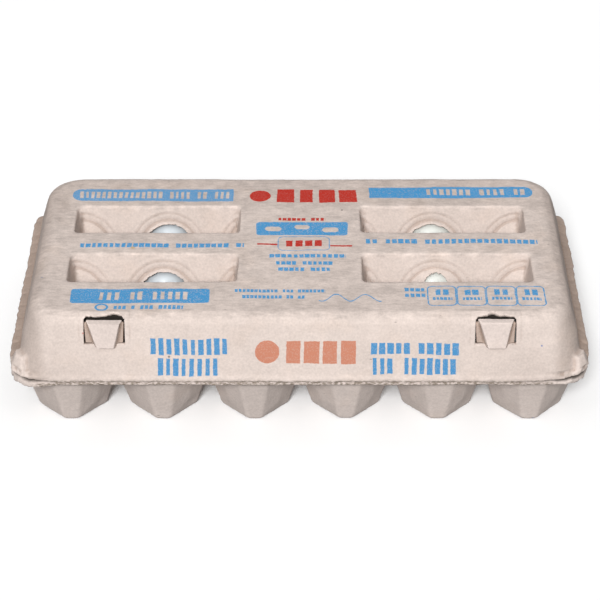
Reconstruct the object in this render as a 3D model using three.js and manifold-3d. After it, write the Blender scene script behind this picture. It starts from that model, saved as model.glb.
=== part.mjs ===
// A closed moulded-pulp egg carton with its eggs: lid, tray with two latch tabs, and 18 eggs.
// Millimetres, +Z up, origin on the floor under the middle of the carton, front towards -Y.
import * as THREE from 'three';
import { mergeVertices } from 'three/addons/utils/BufferGeometryUtils.js';
import Module from 'manifold-3d';

// Cells
const PITCH = 48;
const COLUMNS = 6;
const ROWS = 3;

// Pulp
const WALL = 2;
const GAP = 0.3;
const CORNER_STEPS = 4;

// Outline of the rims of lid and tray, which lie on each other and fold along the back edge
const RIM_HALF_X = 151;
const RIM_FRONT_Y = -78.4;
const RIM_BACK_Y = 81;
const RIM_FRONT_CORNER = 17;
const RIM_BACK_CORNER = 6;

// Tray: a rim plate and one tapered cup for each egg
const TRAY_RIM_Z = 31.1;
const TRAY_RIM_THICKNESS = 1.9;
const TRAY_TOP_Z = TRAY_RIM_Z + TRAY_RIM_THICKNESS;
const CUP_FOOT_HALF = 16.7;
const CUP_FOOT_FLAT = 3.2;
const CUP_FOOT_EDGE = 1.1;
const CUP_DRAFT = 0.33;
const CUP_FLAT_DRAFT = 0.13;
const CUP_CREASE_Z = 10;
const CUP_CREASE_BULGE = 1.08;

// Lid from the rim up to the top plane: height, half length, front and back y, and corner radii
const LID_Z = TRAY_TOP_Z + GAP;
const TOP_Z = 68.1;
const LID_SECTIONS = [
  { z: LID_Z, ...rim(0) },
  { z: LID_Z + 2.3, ...rim(0.3) },
  { z: LID_Z + 3.1, x: 145.2, front: -77.5, back: 76.5, frontCorner: 15, backCorner: 19 },
  { z: 52, x: 143, front: -73.5, back: 74.5, frontCorner: 17, backCorner: 19 },
  { z: TOP_Z - 4.1, x: 139.5, front: -70.4, back: 71.5, frontCorner: 18, backCorner: 18 },
  { z: TOP_Z - 1.6, x: 138, front: -68.6, back: 70.5, frontCorner: 18, backCorner: 18 },
  { z: TOP_Z, x: 134, front: -65.1, back: 67, frontCorner: 15, backCorner: 16 },
];
const CAVITY_SECTIONS = [
  { z: LID_Z - 1, x: 143.4, front: -75.6, back: 74.6, frontCorner: 13, backCorner: 17 },
  { z: 51, x: 141, front: -71.3, back: 72.4, frontCorner: 15, backCorner: 17 },
  { z: TOP_Z - 4.6, x: 137.4, front: -68.3, back: 69.4, frontCorner: 16, backCorner: 16 },
  { z: TOP_Z - WALL, x: 132.8, front: -64.2, back: 66.1, frontCorner: 14, backCorner: 14 },
];

// Recesses between the rows of eggs: two in front and two behind
const RECESS_X = 77;
const RECESS_HALF_X = 44.6;
const RECESS_HALF_Y = 13.5;
const RECESS_CORNER = 3;
const RECESS_DEPTH = 21;
const RECESS_SLOPE = THREE.MathUtils.degToRad(70);
const RECESS_END_RUN = 4;
const RECESS_FLOOR_Z = TOP_Z - RECESS_DEPTH;
const RECESS_COLUMNS = [0.5 * PITCH, 1.5 * PITCH, 2.5 * PITCH];

// Arched step in the recess walls round each egg, measured along the wall from its top edge
const ARCH_DROP = 24.1;
const ARCH_RADIUS = 20;
const ARCH_INNER_RADIUS = 15.7;
const ARCH_DEPTH = 1.3;
const ARCH_SEGMENTS = 16;

// Room for each egg under the lid, and the dome that it makes in a recess wall
const DOME_Z = 33;
const DOME_RADIUS = 25.5;
const DOME_HEIGHT = 30.9;
const ROOM_RADIUS = 23.5;
const ROOM_HEIGHT = 29.3;
const DOME_SEGMENTS = 16;

// Windows over the eggs of the second and fifth columns
const WINDOW_X = 1.5 * PITCH;
const WINDOW_RADIUS = 14;
const WINDOW_CENTRE_Z = 44.6;
const WINDOW_SILL_Z = 50;
const WINDOW_REACH = PITCH / 2 - 6;

// Latches: slots in the lid's front wall, tongues and buttons on the tray
const LATCH_X = 99.5;
const SLOT_WIDTH = 21;
const SLOT_SILL_Z = 54.4;
const SLOT_BACK_Y = -66.8;
const TONGUE_WIDTH = 18;
const TONGUE_TOP_Z = 66.2;
const BUTTON_OUT = 2.7;
const BUTTON_TOP = { z: 66.2, frontZ: 65.3, half: 9.2, frontHalf: 8.3 };
const BUTTON_FOOT = { z: 52.4, frontZ: 53.1, half: 6.2, frontHalf: 4.6 };
const SLIP = 0.4;

// Eggs: extra large, blunt end up
const EGG_LENGTH = 58.5;
const EGG_RADIUS = 21.9;
const EGG_BLUNTNESS = 0.07;
const EGG_BASE_Z = WALL + GAP;
const EGG_SEGMENTS = 12;
const EGG_STEPS = 8;

const PULP_LID = new THREE.MeshStandardMaterial({ color: 0xe3d6ce, roughness: 0.95, metalness: 0 });
const PULP_TRAY = new THREE.MeshStandardMaterial({ color: 0xc6bbb4, roughness: 0.95, metalness: 0 });
const SHELL_WHITE = new THREE.MeshStandardMaterial({ color: 0xf4f4f0, roughness: 0.35, metalness: 0 });

const wasm = await Module();
wasm.setup();

// A closed geometry as a solid that can be joined and cut
function solid(geometry) {
  geometry.deleteAttribute('normal');
  geometry.deleteAttribute('uv');
  const welded = mergeVertices(geometry, 1e-4);
  return new wasm.Manifold(new wasm.Mesh({
    numProp: 3,
    vertProperties: new Float32Array(welded.attributes.position.array),
    triVerts: new Uint32Array(welded.index.array),
  }));
}

function namedMesh(name, body, material) {
  const { vertProperties, triVerts } = body.getMesh();
  const geometry = new THREE.BufferGeometry();
  geometry.setAttribute('position', new THREE.BufferAttribute(vertProperties, 3));
  geometry.setIndex(new THREE.BufferAttribute(triVerts, 1));
  geometry.computeVertexNormals();
  const mesh = new THREE.Mesh(geometry, material);
  mesh.name = name;
  return mesh;
}

function joined(solids) {
  return solids.reduce((sum, next) => sum.add(next));
}

// A skin through rings of points, lowest ring first, each anticlockwise from above, with flat caps
function loft(rings) {
  const count = rings[0].length;
  const points = rings.flat();
  const index = [];
  for (let ring = 0; ring + 1 < rings.length; ring++) {
    for (let i = 0; i < count; i++) {
      const a = ring * count + i;
      const b = ring * count + (i + 1) % count;
      index.push(a, b, b + count, a, b + count, a + count);
    }
  }
  const last = (rings.length - 1) * count;
  const bottom = points.push(middle(rings[0])) - 1;
  const top = points.push(middle(rings[rings.length - 1])) - 1;
  for (let i = 0; i < count; i++) {
    const next = (i + 1) % count;
    index.push(bottom, next, i);
    index.push(top, last + i, last + next);
  }
  const geometry = new THREE.BufferGeometry().setFromPoints(points);
  geometry.setIndex(index);
  return geometry;
}

function middle(ring) {
  const sum = new THREE.Vector3();
  ring.forEach((point) => sum.add(point));
  return sum.divideScalar(ring.length);
}

// A level ring, from its half length x, the y of its front and back edges, and its corner radii
function roundedRectangle({ z, x, front, back, frontCorner, backCorner }, centreX = 0) {
  const ring = [];
  for (let quarter = 0; quarter < 4; quarter++) {
    const sideX = quarter === 0 || quarter === 3 ? 1 : -1;
    const corner = quarter < 2 ? backCorner : frontCorner;
    const cornerY = quarter < 2 ? back - corner : front + corner;
    for (let step = 0; step <= CORNER_STEPS; step++) {
      const angle = (quarter + step / CORNER_STEPS) * Math.PI / 2;
      ring.push(new THREE.Vector3(
        centreX + sideX * (x - corner) + corner * Math.cos(angle),
        cornerY + corner * Math.sin(angle),
        z,
      ));
    }
  }
  return ring;
}

// Edge of the rim, moved in by inset
function rim(inset) {
  return {
    x: RIM_HALF_X - inset,
    front: RIM_FRONT_Y + inset,
    back: RIM_BACK_Y - inset,
    frontCorner: RIM_FRONT_CORNER,
    backCorner: RIM_BACK_CORNER,
  };
}

function box(x0, x1, y0, y1, z0, z1) {
  const geometry = new THREE.BoxGeometry(x1 - x0, y1 - y0, z1 - z0);
  geometry.translate((x0 + x1) / 2, (y0 + y1) / 2, (z0 + z1) / 2);
  return solid(geometry);
}

function ellipsoid(x, y, radius, height) {
  const geometry = new THREE.SphereGeometry(1, DOME_SEGMENTS, DOME_SEGMENTS / 2);
  geometry.rotateX(Math.PI / 2);
  geometry.scale(radius, radius, height);
  geometry.translate(x, y, DOME_Z);
  return solid(geometry);
}

const columnX = (column) => (column - (COLUMNS - 1) / 2) * PITCH;
const rowY = (row) => (row - (ROWS - 1) / 2) * PITCH;

// Every cell of the carton, as x and y of its middle
function cells() {
  const list = [];
  for (let row = 0; row < ROWS; row++) {
    for (let column = 0; column < COLUMNS; column++) {
      list.push({ row, column, x: columnX(column), y: rowY(row) });
    }
  }
  return list;
}

// Lid

// Step along the recess wall that frames one egg, a shallow dish at right angles to the wall
function archStep(x, centreY, side, inward) {
  const outerRadius = 2 * ARCH_RADIUS - ARCH_INNER_RADIUS;
  const geometry = new THREE.CylinderGeometry(
    outerRadius + inward, ARCH_INNER_RADIUS + inward, 2 * ARCH_DEPTH, ARCH_SEGMENTS);
  geometry.translate(0, -inward, 0);
  geometry.rotateX(Math.PI / 2 + side * RECESS_SLOPE);
  geometry.translate(
    x,
    centreY + side * (RECESS_HALF_Y - ARCH_DROP * Math.cos(RECESS_SLOPE)),
    TOP_Z - ARCH_DROP * Math.sin(RECESS_SLOPE));
  return solid(geometry);
}

// The hollow of one recess; grow makes it larger all round, for the inside face of the pulp
function recess(sideX, centreY, grow) {
  const floorZ = RECESS_FLOOR_Z - grow;
  const run = RECESS_DEPTH / Math.tan(RECESS_SLOPE);
  const above = 2;
  const rise = above / RECESS_DEPTH;
  const centreX = sideX * RECESS_X;
  const level = (z, halfX, halfY) => roundedRectangle({
    z,
    x: halfX + grow,
    front: centreY - halfY - grow,
    back: centreY + halfY + grow,
    frontCorner: RECESS_CORNER,
    backCorner: RECESS_CORNER,
  }, centreX);
  const hollow = solid(loft([
    level(floorZ, RECESS_HALF_X - RECESS_END_RUN, RECESS_HALF_Y - run),
    level(TOP_Z + above, RECESS_HALF_X + RECESS_END_RUN * rise, RECESS_HALF_Y + run * rise),
  ]));
  const reach = RECESS_HALF_X - RECESS_END_RUN / 2 + grow;
  const zone = box(centreX - reach, centreX + reach, centreY - PITCH, centreY + PITCH, floorZ, TOP_Z);
  const steps = [];
  for (const x of RECESS_COLUMNS) {
    for (const side of [-1, 1]) {
      steps.push(archStep(sideX * x, centreY, side, grow));
    }
  }
  return hollow.add(joined(steps).intersect(zone));
}

function eachRecess(make) {
  const list = [];
  for (const centreY of [-PITCH / 2, PITCH / 2]) {
    for (const sideX of [-1, 1]) {
      list.push(make(sideX, centreY));
    }
  }
  return list;
}

// Window in the wall on one side of a recess: a round arch over a straight sill
function windowCut(x, centreY, side) {
  const sill = WINDOW_SILL_Z - WINDOW_CENTRE_Z;
  const start = Math.asin(sill / WINDOW_RADIUS);
  const arch = new THREE.Shape();
  arch.absarc(0, 0, WINDOW_RADIUS, start, Math.PI - start, false);
  arch.closePath();
  const geometry = new THREE.ExtrudeGeometry(
    arch, { depth: WINDOW_REACH, bevelEnabled: false, curveSegments: 8 });
  geometry.rotateX(Math.PI / 2);
  if (side > 0) {
    geometry.translate(0, WINDOW_REACH, 0);
  }
  geometry.translate(x, centreY, WINDOW_CENTRE_Z);
  return solid(geometry);
}

function makeLid() {
  const places = cells();
  const block = solid(loft(LID_SECTIONS.map((section) => roundedRectangle(section))));
  const hollows = joined(eachRecess((sideX, centreY) => recess(sideX, centreY, 0)));
  const domes = joined(places.map(({ x, y }) => ellipsoid(x, y, DOME_RADIUS, DOME_HEIGHT)));
  const outside = block.subtract(hollows.subtract(domes));

  const room = solid(loft(CAVITY_SECTIONS.map((section) => roundedRectangle(section))));
  const linings = joined(eachRecess((sideX, centreY) => recess(sideX, centreY, WALL)));
  const eggRooms = joined(places.map(({ x, y }) => ellipsoid(x, y, ROOM_RADIUS, ROOM_HEIGHT)));
  const below = box(-RIM_HALF_X - 5, RIM_HALF_X + 5, RIM_FRONT_Y - 5, RIM_BACK_Y + 5, -20, LID_Z - 1);
  const inside = room.subtract(linings).add(eggRooms.subtract(below));

  const windows = [];
  eachRecess((sideX, centreY) => {
    for (const side of [-1, 1]) {
      windows.push(windowCut(sideX * WINDOW_X, centreY, side));
    }
  });
  const slots = [-1, 1].map((side) => box(
    side * LATCH_X - SLOT_WIDTH / 2, side * LATCH_X + SLOT_WIDTH / 2,
    RIM_FRONT_Y - 5, SLOT_BACK_Y, SLOT_SILL_Z, TOP_Z + 5));
  return outside.subtract(inside).subtract(joined([...windows, ...slots]));
}

// Tray

// Section of a cup: four flat panels and the corners between them, which bulge above the crease
function cupRing(cell, z, half, flat, bulge) {
  const ring = [];
  const corner = (half + flat) / Math.SQRT2 * bulge;
  for (let quarter = 0; quarter < 4; quarter++) {
    const turn = quarter * Math.PI / 2;
    const quarterPoints = [
      new THREE.Vector3(half, -flat, 0),
      new THREE.Vector3(half, flat, 0),
      new THREE.Vector3(corner * Math.SQRT1_2, corner * Math.SQRT1_2, 0),
    ];
    for (const point of quarterPoints) {
      point.applyAxisAngle(new THREE.Vector3(0, 0, 1), turn);
      ring.push(point.add(new THREE.Vector3(cell.x, cell.y, z)));
    }
  }
  return ring;
}

function cup(cell, inward, topZ) {
  const ring = (z, bulge) => cupRing(
    cell, z,
    CUP_FOOT_HALF + CUP_DRAFT * z - inward,
    CUP_FOOT_FLAT + CUP_FLAT_DRAFT * z,
    bulge);
  const foot = cupRing(cell, inward, CUP_FOOT_HALF - CUP_FOOT_EDGE - inward, CUP_FOOT_FLAT - 0.4, 1);
  return solid(loft([
    foot,
    ring(inward + CUP_FOOT_EDGE, 1),
    ring(CUP_CREASE_Z, CUP_CREASE_BULGE),
    ring(topZ, CUP_CREASE_BULGE),
  ]));
}

const frontYBetween = (z, low, high) => THREE.MathUtils.mapLinear(z, low.z, high.z, low.front, high.front);
const lidFrontY = (z) => frontYBetween(z, LID_SECTIONS[2], LID_SECTIONS[3]);
const lidInsideFrontY = (z) => frontYBetween(z, CAVITY_SECTIONS[0], CAVITY_SECTIONS[1]);

// A six-sided block between two heights; each end gives its half width, back y and front y
function wedge(x, bottom, top) {
  const corners = (end) => [
    new THREE.Vector3(x - end.frontHalf, end.frontY, end.frontZ),
    new THREE.Vector3(x + end.frontHalf, end.frontY, end.frontZ),
    new THREE.Vector3(x + end.half, end.backY, end.z),
    new THREE.Vector3(x - end.half, end.backY, end.z),
  ];
  return solid(loft([corners(bottom), corners(top)]));
}

function straightEnd(z, half, frontY, backY) {
  return { z, frontZ: z, half, frontHalf: half, frontY, backY };
}

// One latch: a tongue up the inside of the lid's front wall, a neck through the slot, and a button
function latch(x) {
  const half = TONGUE_WIDTH / 2;
  const neckZ = SLOT_SILL_Z + 2 * SLIP;
  const bendZ = TONGUE_TOP_Z - 4;
  const inFront = (z) => lidInsideFrontY(z) + SLIP;
  const backY = SLOT_BACK_Y - SLIP;
  const tongue = wedge(
    x,
    straightEnd(TRAY_RIM_Z + 0.5, half, inFront(TRAY_RIM_Z + 0.5), inFront(TRAY_RIM_Z + 0.5) + WALL),
    straightEnd(bendZ, half, inFront(bendZ), backY));
  const neck = wedge(
    x,
    straightEnd(neckZ, half, lidFrontY(neckZ) - SLIP - 1, inFront(neckZ) + 1),
    straightEnd(TONGUE_TOP_Z, half, lidFrontY(TONGUE_TOP_Z) - SLIP - 1, backY));
  const face = (end) => ({
    ...end,
    frontY: lidFrontY(end.frontZ) - BUTTON_OUT,
    backY: lidFrontY(end.z) - SLIP,
  });
  const button = wedge(x, face(BUTTON_FOOT), face(BUTTON_TOP));
  return joined([tongue, neck, button]);
}

function makeTray() {
  const places = cells();
  const plate = solid(loft([
    roundedRectangle({ z: TRAY_RIM_Z, ...rim(0) }),
    roundedRectangle({ z: TRAY_TOP_Z, ...rim(0) }),
  ]));
  const cups = joined(places.map((cell) => cup(cell, 0, TRAY_TOP_Z - 0.5)));
  const hollows = joined(places.map((cell) => cup(cell, WALL, TRAY_TOP_Z + 2)));
  const latches = joined([-1, 1].map((side) => latch(side * LATCH_X)));
  return plate.add(cups).subtract(hollows).add(latches);
}

// Eggs

// Half outline from the pointed end, below, to the blunt end, above
function eggProfile() {
  const points = [];
  for (let step = 0; step <= EGG_STEPS; step++) {
    const angle = Math.PI * step / EGG_STEPS;
    const along = -Math.cos(angle);
    const radius = EGG_RADIUS * Math.sin(angle) * (1 + EGG_BLUNTNESS * along);
    points.push(new THREE.Vector2(radius, EGG_LENGTH / 2 * (1 + along)));
  }
  points[0].x = 0;
  points[EGG_STEPS].x = 0;
  return points;
}

function makeEgg() {
  const geometry = new THREE.LatheGeometry(eggProfile(), EGG_SEGMENTS);
  geometry.rotateX(Math.PI / 2);
  return solid(geometry);
}

const carton = new THREE.Group();
carton.add(namedMesh('lid', makeLid(), PULP_LID));
carton.add(namedMesh('tray', makeTray(), PULP_TRAY));
for (const { row, column, x, y } of cells()) {
  const egg = namedMesh(`egg_r${row + 1}_c${column + 1}`, makeEgg(), SHELL_WHITE);
  egg.position.set(x, y, EGG_BASE_Z);
  carton.add(egg);
}

export default carton;
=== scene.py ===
import math
from itertools import product

import bpy
import numpy as np
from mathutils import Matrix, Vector


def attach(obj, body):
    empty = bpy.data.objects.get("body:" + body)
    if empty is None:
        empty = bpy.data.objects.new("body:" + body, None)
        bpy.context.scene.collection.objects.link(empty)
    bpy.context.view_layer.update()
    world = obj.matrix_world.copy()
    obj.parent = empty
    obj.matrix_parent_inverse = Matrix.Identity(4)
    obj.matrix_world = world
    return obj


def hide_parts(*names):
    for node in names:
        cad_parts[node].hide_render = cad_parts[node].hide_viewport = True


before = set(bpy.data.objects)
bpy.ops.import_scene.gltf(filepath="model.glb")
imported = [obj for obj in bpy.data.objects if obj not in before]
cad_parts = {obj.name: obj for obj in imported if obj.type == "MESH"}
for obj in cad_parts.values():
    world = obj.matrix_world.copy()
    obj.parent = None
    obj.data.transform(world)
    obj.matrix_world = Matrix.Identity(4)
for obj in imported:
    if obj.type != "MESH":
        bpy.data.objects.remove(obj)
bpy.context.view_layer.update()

# Shapes are worked out in millimetres and stored in metres
MM = 0.001

# The carton
PITCH = 48.0
COLUMNS = 6
ROWS = 3
COLUMN_X = [(column - (COLUMNS - 1) / 2) * PITCH for column in range(COLUMNS)]
ROW_Y = [(row - (ROWS - 1) / 2) * PITCH for row in range(ROWS)]
WALL = 2.0
TRAY_RIM_Z = 31.1
TRAY_TOP_Z = 33.0
LID_Z = 33.3
TOP_Z = 68.1
RIM_HALF_X = 151.0
RIM_FRONT_Y = -78.4
RIM_BACK_Y = 82.2
RIM_FRONT_CORNER = 17.0
RIM_BACK_CORNER = 8.5
RIM_EDGE = (RIM_HALF_X, RIM_FRONT_Y, RIM_BACK_Y, RIM_FRONT_CORNER, RIM_BACK_CORNER)

# Lid from the rim up to the top plane: height, half length, front and back y, front and back corner radius
LID_SECTIONS = [
    (LID_Z, *RIM_EDGE),
    (LID_Z + 2.4, *RIM_EDGE),
    (LID_Z + 3.1, 145.2, -77.5, 76.5, 15.0, 19.0),
    (52.0, 143.0, -73.5, 73.6, 17.0, 19.0),
    (TOP_Z - 4.1, 139.5, -70.4, 70.4, 18.0, 18.0),
    (TOP_Z - 1.6, 138.0, -68.6, 69.3, 18.0, 18.0),
    (TOP_Z, 134.0, -65.1, 65.8, 15.0, 16.0),
]
CAVITY_SECTIONS = [
    (LID_Z - 2, 143.4, -75.6, 74.6, 13.0, 17.0),
    (51.0, 141.0, -71.3, 71.4, 15.0, 17.0),
    (TOP_Z - 4.6, 137.4, -68.3, 68.3, 16.0, 16.0),
    (TOP_Z - WALL, 132.8, -64.2, 64.9, 14.0, 14.0),
]
SECTION_STEPS = 16
# How far the front wall goes back for each millimetre that it rises
WALL_LEAN = (LID_SECTIONS[3][2] - LID_SECTIONS[2][2]) / (LID_SECTIONS[3][0] - LID_SECTIONS[2][0])

# Recesses in the lid
RECESS_X = 77.0
RECESS_Y = 24.0
RECESS_HALF_X = 44.6
RECESS_HALF_Y = 13.5
RECESS_CORNER = 3.0
RECESS_DEPTH = 21.0
RECESS_SLOPE = math.radians(70)
SLOPE_SINE = math.sin(RECESS_SLOPE)
SLOPE_COSINE = math.cos(RECESS_SLOPE)
RECESS_END_RUN = 4.0
ARCH_DROP = 24.1
ARCH_RADIUS = 20.0
ARCH_INNER_RADIUS = 15.7
ARCH_DEPTH = 1.3

# Egg rooms under the lid
DOME_Z = 33.0
DOME_RADIUS = 25.5
DOME_HEIGHT = 30.9
ROOM_RADIUS = 23.5
ROOM_HEIGHT = 29.3

# Windows over the eggs of the second and fifth columns
WINDOW_X = 1.5 * PITCH
WINDOW_RADIUS = 13.8
WINDOW_TOP_Z = 58.6
HALF_OPEN_RADIUS = 6.6
WINDOW_SILL_Z = 50.0
WINDOW_REACH = 18.0

# Latches
LATCH_X = 99.5
SLOT_WIDTH = 21.0
SLOT_SILL_Z = 53.3
SLOT_BACK_Y = -67.4
SHOULDER_Z = 66.2
POCKET_FRONT_Y = -70.0
POCKET_BACK_Y = -60.0
FRAME_MARGIN = 1.4
FRAME_RAISE = 0.45
FRAME_BACK_Y = -65.0
WING_HALF = 10.2
WING_SHIFT = -0.1
WING_FOOT_Z = 53.8
WING_TOP_Z = 64.3
TONGUE_HALF = 10.3
TONGUE_FRONT_Y = -66.0
BUTTON_OUT = 2.8
BUTTON_SKEW = 0.6
RIGHT_BUTTON_RAISE = 0.6
# Upper and lower edge of the button: height and half width in the wing, then at its front
BUTTON_TOP = (66.0, 9.6, 65.3, 8.0)
BUTTON_FOOT = (51.8, 6.0, 52.4, 4.2)

# Tray cups
CUP_FOOT_HALF = 17.6
CUP_FOOT_FLAT = 3.5
CUP_FOOT_EDGE = 0.6
CUP_DRAFT = 0.265
CUP_FLAT_DRAFT = 0.13
SOLE_Z = 0.03
CUP_CREASE_Z = 10.0
CUP_CREASE_BULGE = 1.06

# Eggs
EGG_LENGTH = 58.5
EGG_RADIUS = 21.9
EGG_BLUNTNESS = 0.07
EGG_BASE_Z = 2.3

# Fineness of the pulp surfaces
LID_VOXEL = 0.88
TRAY_VOXEL = 1.2
LATCH_VOXEL = 0.45

# Uneven pulp: height and size of each kind of wave
RELIEF_WAVES = [(0.30, 46), (0.16, 17), (0.09, 6), (0.06, 2.4)]

# Grooves and lips along the arched steps, and round the half-open window: height, radius and width
ARCH_LINES = [(0.2, 21.3, 0.8), (-0.36, 19.9, 0.8), (0.15, 17.9, 1.0), (-0.3, 16.0, 0.7), (0.3, 14.7, 0.6)]
HALF_OPEN_LINES = [(0.3, 12.8, 0.5), (-0.3, 11.6, 0.6), (0.3, 10.4, 0.5), (-0.3, 9.2, 0.6)]

# Worn rims
WEAR_FOOT_Z = 28.5
WEAR_TOP_Z = 38.5
WEAR_REACH = 6.0
SIDE_RIM_X = 145.5
CREASE_PITCH = 12.0
CREASE_DEPTH = 0.55

# Crumpled front corners of the rims, left and right: lift, bulge, droop and roughness
LID_CRUMPLE = {-1: (1.3, -1.0, 0, 1.1), 1: (1.7, -1.6, 0, 1.6)}
TRAY_CRUMPLE = {-1: (-1.2, -1.0, 1.8, 1.2), 1: (-0.3, -1.9, 0.9, 1.3)}
CRUMPLE_X = 147.0
CRUMPLE_Y = -72.0
CRUMPLE_REACH = 24.0

# How far a point lies below its neighbours, in millimetres, where the painted shade in hollows is full
PULP_HOLLOW = 0.08
LATCH_HOLLOW = 0.03

# Seeds of the noise
LID_SEED = 11
LID_RIM_SEED = 21
TRAY_SEED = 31
TRAY_RIM_SEED = 25
WINDOW_SEED = 40
SLOT_SEED = 70
LATCH_SEED = 80

# Camera fitted to the photograph: height angle, distance to the target and focal length
CAMERA_ELEVATION = math.radians(33.85)
CAMERA_DISTANCE = 1171.9
CAMERA_TARGET_Z = 31.4
FOCAL_PIXELS = 2159.8
IMAGE_PIXELS = 600
SENSOR_MM = 36.0

# Studio: a soft key from the front at about the camera's height, even light all round and two strips overhead
KEY_LIGHT = 3.3
KEY_SOFTNESS = 0.3
KEY_ELEVATION = math.radians(37)
KEY_ASIDE = 0.12
WORLD_LIGHT = 0.43
WORLD_SIDE_LOSS = 0.5
SOFTBOX_POWER = 1.5
# In metres
SOFTBOX_SIZE = (0.25, 0.7)
SOFTBOX_X = (-0.45, 0.4)
SOFTBOX_PLACE = (-1.0, 1.9)
SOFTBOX_TARGET = Vector((0, 0, 0.03))
# In millimetres
FLOOR_HALF = 6000


# Mesh helpers

def link(name, data):
    made = bpy.data.objects.new(name, data)
    bpy.context.scene.collection.objects.link(made)
    return made


def make_object(name, points, faces):
    """A mesh object from points in millimetres."""
    mesh = bpy.data.meshes.new(name)
    mesh.from_pydata((np.asarray(points, float) * MM).tolist(), [], faces)
    mesh.update()
    return link(name, mesh)


def read_vectors(items, name):
    flat = np.zeros(len(items) * 3, np.float32)
    items.foreach_get(name, flat)
    return flat.reshape(-1, 3).astype(float)


def points_of(obj):
    """The object's vertices in millimetres."""
    return read_vectors(obj.data.vertices, "co") / MM


def set_points(obj, points):
    obj.data.vertices.foreach_set("co", (points * MM).astype(np.float32).ravel())
    obj.data.update()


def normals_of(obj):
    return read_vectors(obj.data.vertex_normals, "vector")


def apply_modifiers(obj):
    """Bakes the modifiers into the object's own mesh."""
    depsgraph = bpy.context.evaluated_depsgraph_get()
    shaped = bpy.data.meshes.new_from_object(obj.evaluated_get(depsgraph))
    obj.modifiers.clear()
    old = obj.data
    obj.data = shaped
    bpy.data.meshes.remove(old)


def remove(obj):
    mesh = obj.data
    bpy.data.objects.remove(obj)
    bpy.data.meshes.remove(mesh)


def combine(target, cutter, operation):
    """Joins or cuts target with cutter, which is used up."""
    modifier = target.modifiers.new(operation, "BOOLEAN")
    modifier.operation = operation
    modifier.object = cutter
    modifier.solver = "MANIFOLD"
    apply_modifiers(target)
    remove(cutter)
    return target


def cut(target, cutter):
    return combine(target, cutter, "DIFFERENCE")


def union(objects):
    first = objects[0]
    for other in objects[1:]:
        combine(first, other, "UNION")
    return first


def remesh(obj, voxel):
    modifier = obj.modifiers.new("voxels", "REMESH")
    modifier.mode = "VOXEL"
    modifier.voxel_size = voxel * MM
    apply_modifiers(obj)


def soften(obj, factor, repeats):
    modifier = obj.modifiers.new("soften", "SMOOTH")
    modifier.factor = factor
    modifier.iterations = repeats
    apply_modifiers(obj)


def shade_smooth(obj):
    obj.data.polygons.foreach_set("use_smooth", [True] * len(obj.data.polygons))


def bands(start, rings, count):
    """Faces between rings of count points each, the first of them at start."""
    faces = []
    for ring in range(rings - 1):
        for i in range(count):
            a = start + ring * count + i
            b = start + ring * count + (i + 1) % count
            faces.append((a, b, b + count, a + count))
    return faces


def loft(name, rings):
    """A closed skin through rings of points, lowest first, each anticlockwise from above."""
    count = len(rings[0])
    points = [point for ring in rings for point in ring]
    faces = bands(0, len(rings), count)
    faces.append(tuple(reversed(range(count))))
    faces.append(tuple(range(len(points) - count, len(points))))
    return make_object(name, points, faces)


def rounded_rectangle(section, centre_x=0.0):
    z, half_x, front, back, front_corner, back_corner = section
    ring = []
    for quarter in range(4):
        side_x = 1 if quarter in (0, 3) else -1
        corner = back_corner if quarter < 2 else front_corner
        corner_y = back - corner if quarter < 2 else front + corner
        for step in range(SECTION_STEPS + 1):
            angle = (quarter + step / SECTION_STEPS) * math.pi / 2
            ring.append((
                centre_x + side_x * (half_x - corner) + corner * math.cos(angle),
                corner_y + corner * math.sin(angle),
                z,
            ))
    return ring


def half_turn(steps):
    return [math.pi * step / steps for step in range(steps + 1)]


def turned(name, profile, segments):
    """A body turned round +Z from (radius, height) pairs, lowest first, that start and end on the axis."""
    points = [(0.0, 0.0, profile[0][1])]
    for radius, height in profile[1:-1]:
        for i in range(segments):
            angle = 2 * math.pi * i / segments
            points.append((radius * math.cos(angle), radius * math.sin(angle), height))
    top = len(points)
    last = top - segments
    points.append((0.0, 0.0, profile[-1][1]))
    faces = [(0, 1 + (i + 1) % segments, 1 + i) for i in range(segments)]
    faces += bands(1, len(profile) - 2, segments)
    faces += [(last + i, last + (i + 1) % segments, top) for i in range(segments)]
    return make_object(name, points, faces)


def move(obj, x, y, z):
    set_points(obj, points_of(obj) + (x, y, z))
    return obj


def cells():
    """Row, column, x and y of the middle of every cell."""
    for row, column in product(range(ROWS), range(COLUMNS)):
        yield row, column, COLUMN_X[column], ROW_Y[row]


def smooth_step(value, low, high):
    share = np.clip((value - low) / (high - low), 0, 1)
    return share * share * (3 - 2 * share)


def bell(value, middle, width):
    return np.exp(-((value - middle) / width) ** 2)


# Noise on a lattice of random values, the same on every run

def lattice_noise(points, size, seed):
    """Smooth noise from -1 to 1 at each point, with features of about the given size."""
    place = points / size
    place = place - np.floor(place.min(0)).astype(int)
    cell = np.floor(place).astype(int)
    part = place - cell
    part = part * part * (3 - 2 * part)
    shape = cell.max(0) + 2
    values = np.random.default_rng(seed).uniform(-1, 1, shape)
    total = np.zeros(len(place))
    for corner in range(8):
        step = np.array([corner & 1, corner >> 1 & 1, corner >> 2 & 1])
        weight = np.prod(np.where(step, part, 1 - part), axis=1)
        at = cell + step
        total += weight * values[at[:, 0], at[:, 1], at[:, 2]]
    return total


def pulp_relief(obj, seed, strength=1.0):
    """Uneven surface of moulded pulp: long waves, dents and fine lumps, pushed along the normals."""
    points = points_of(obj)
    depth = sum(height * lattice_noise(points, size, seed + number)
                for number, (height, size) in enumerate(RELIEF_WAVES))
    set_points(obj, points + normals_of(obj) * (strength * depth)[:, None])


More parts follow.
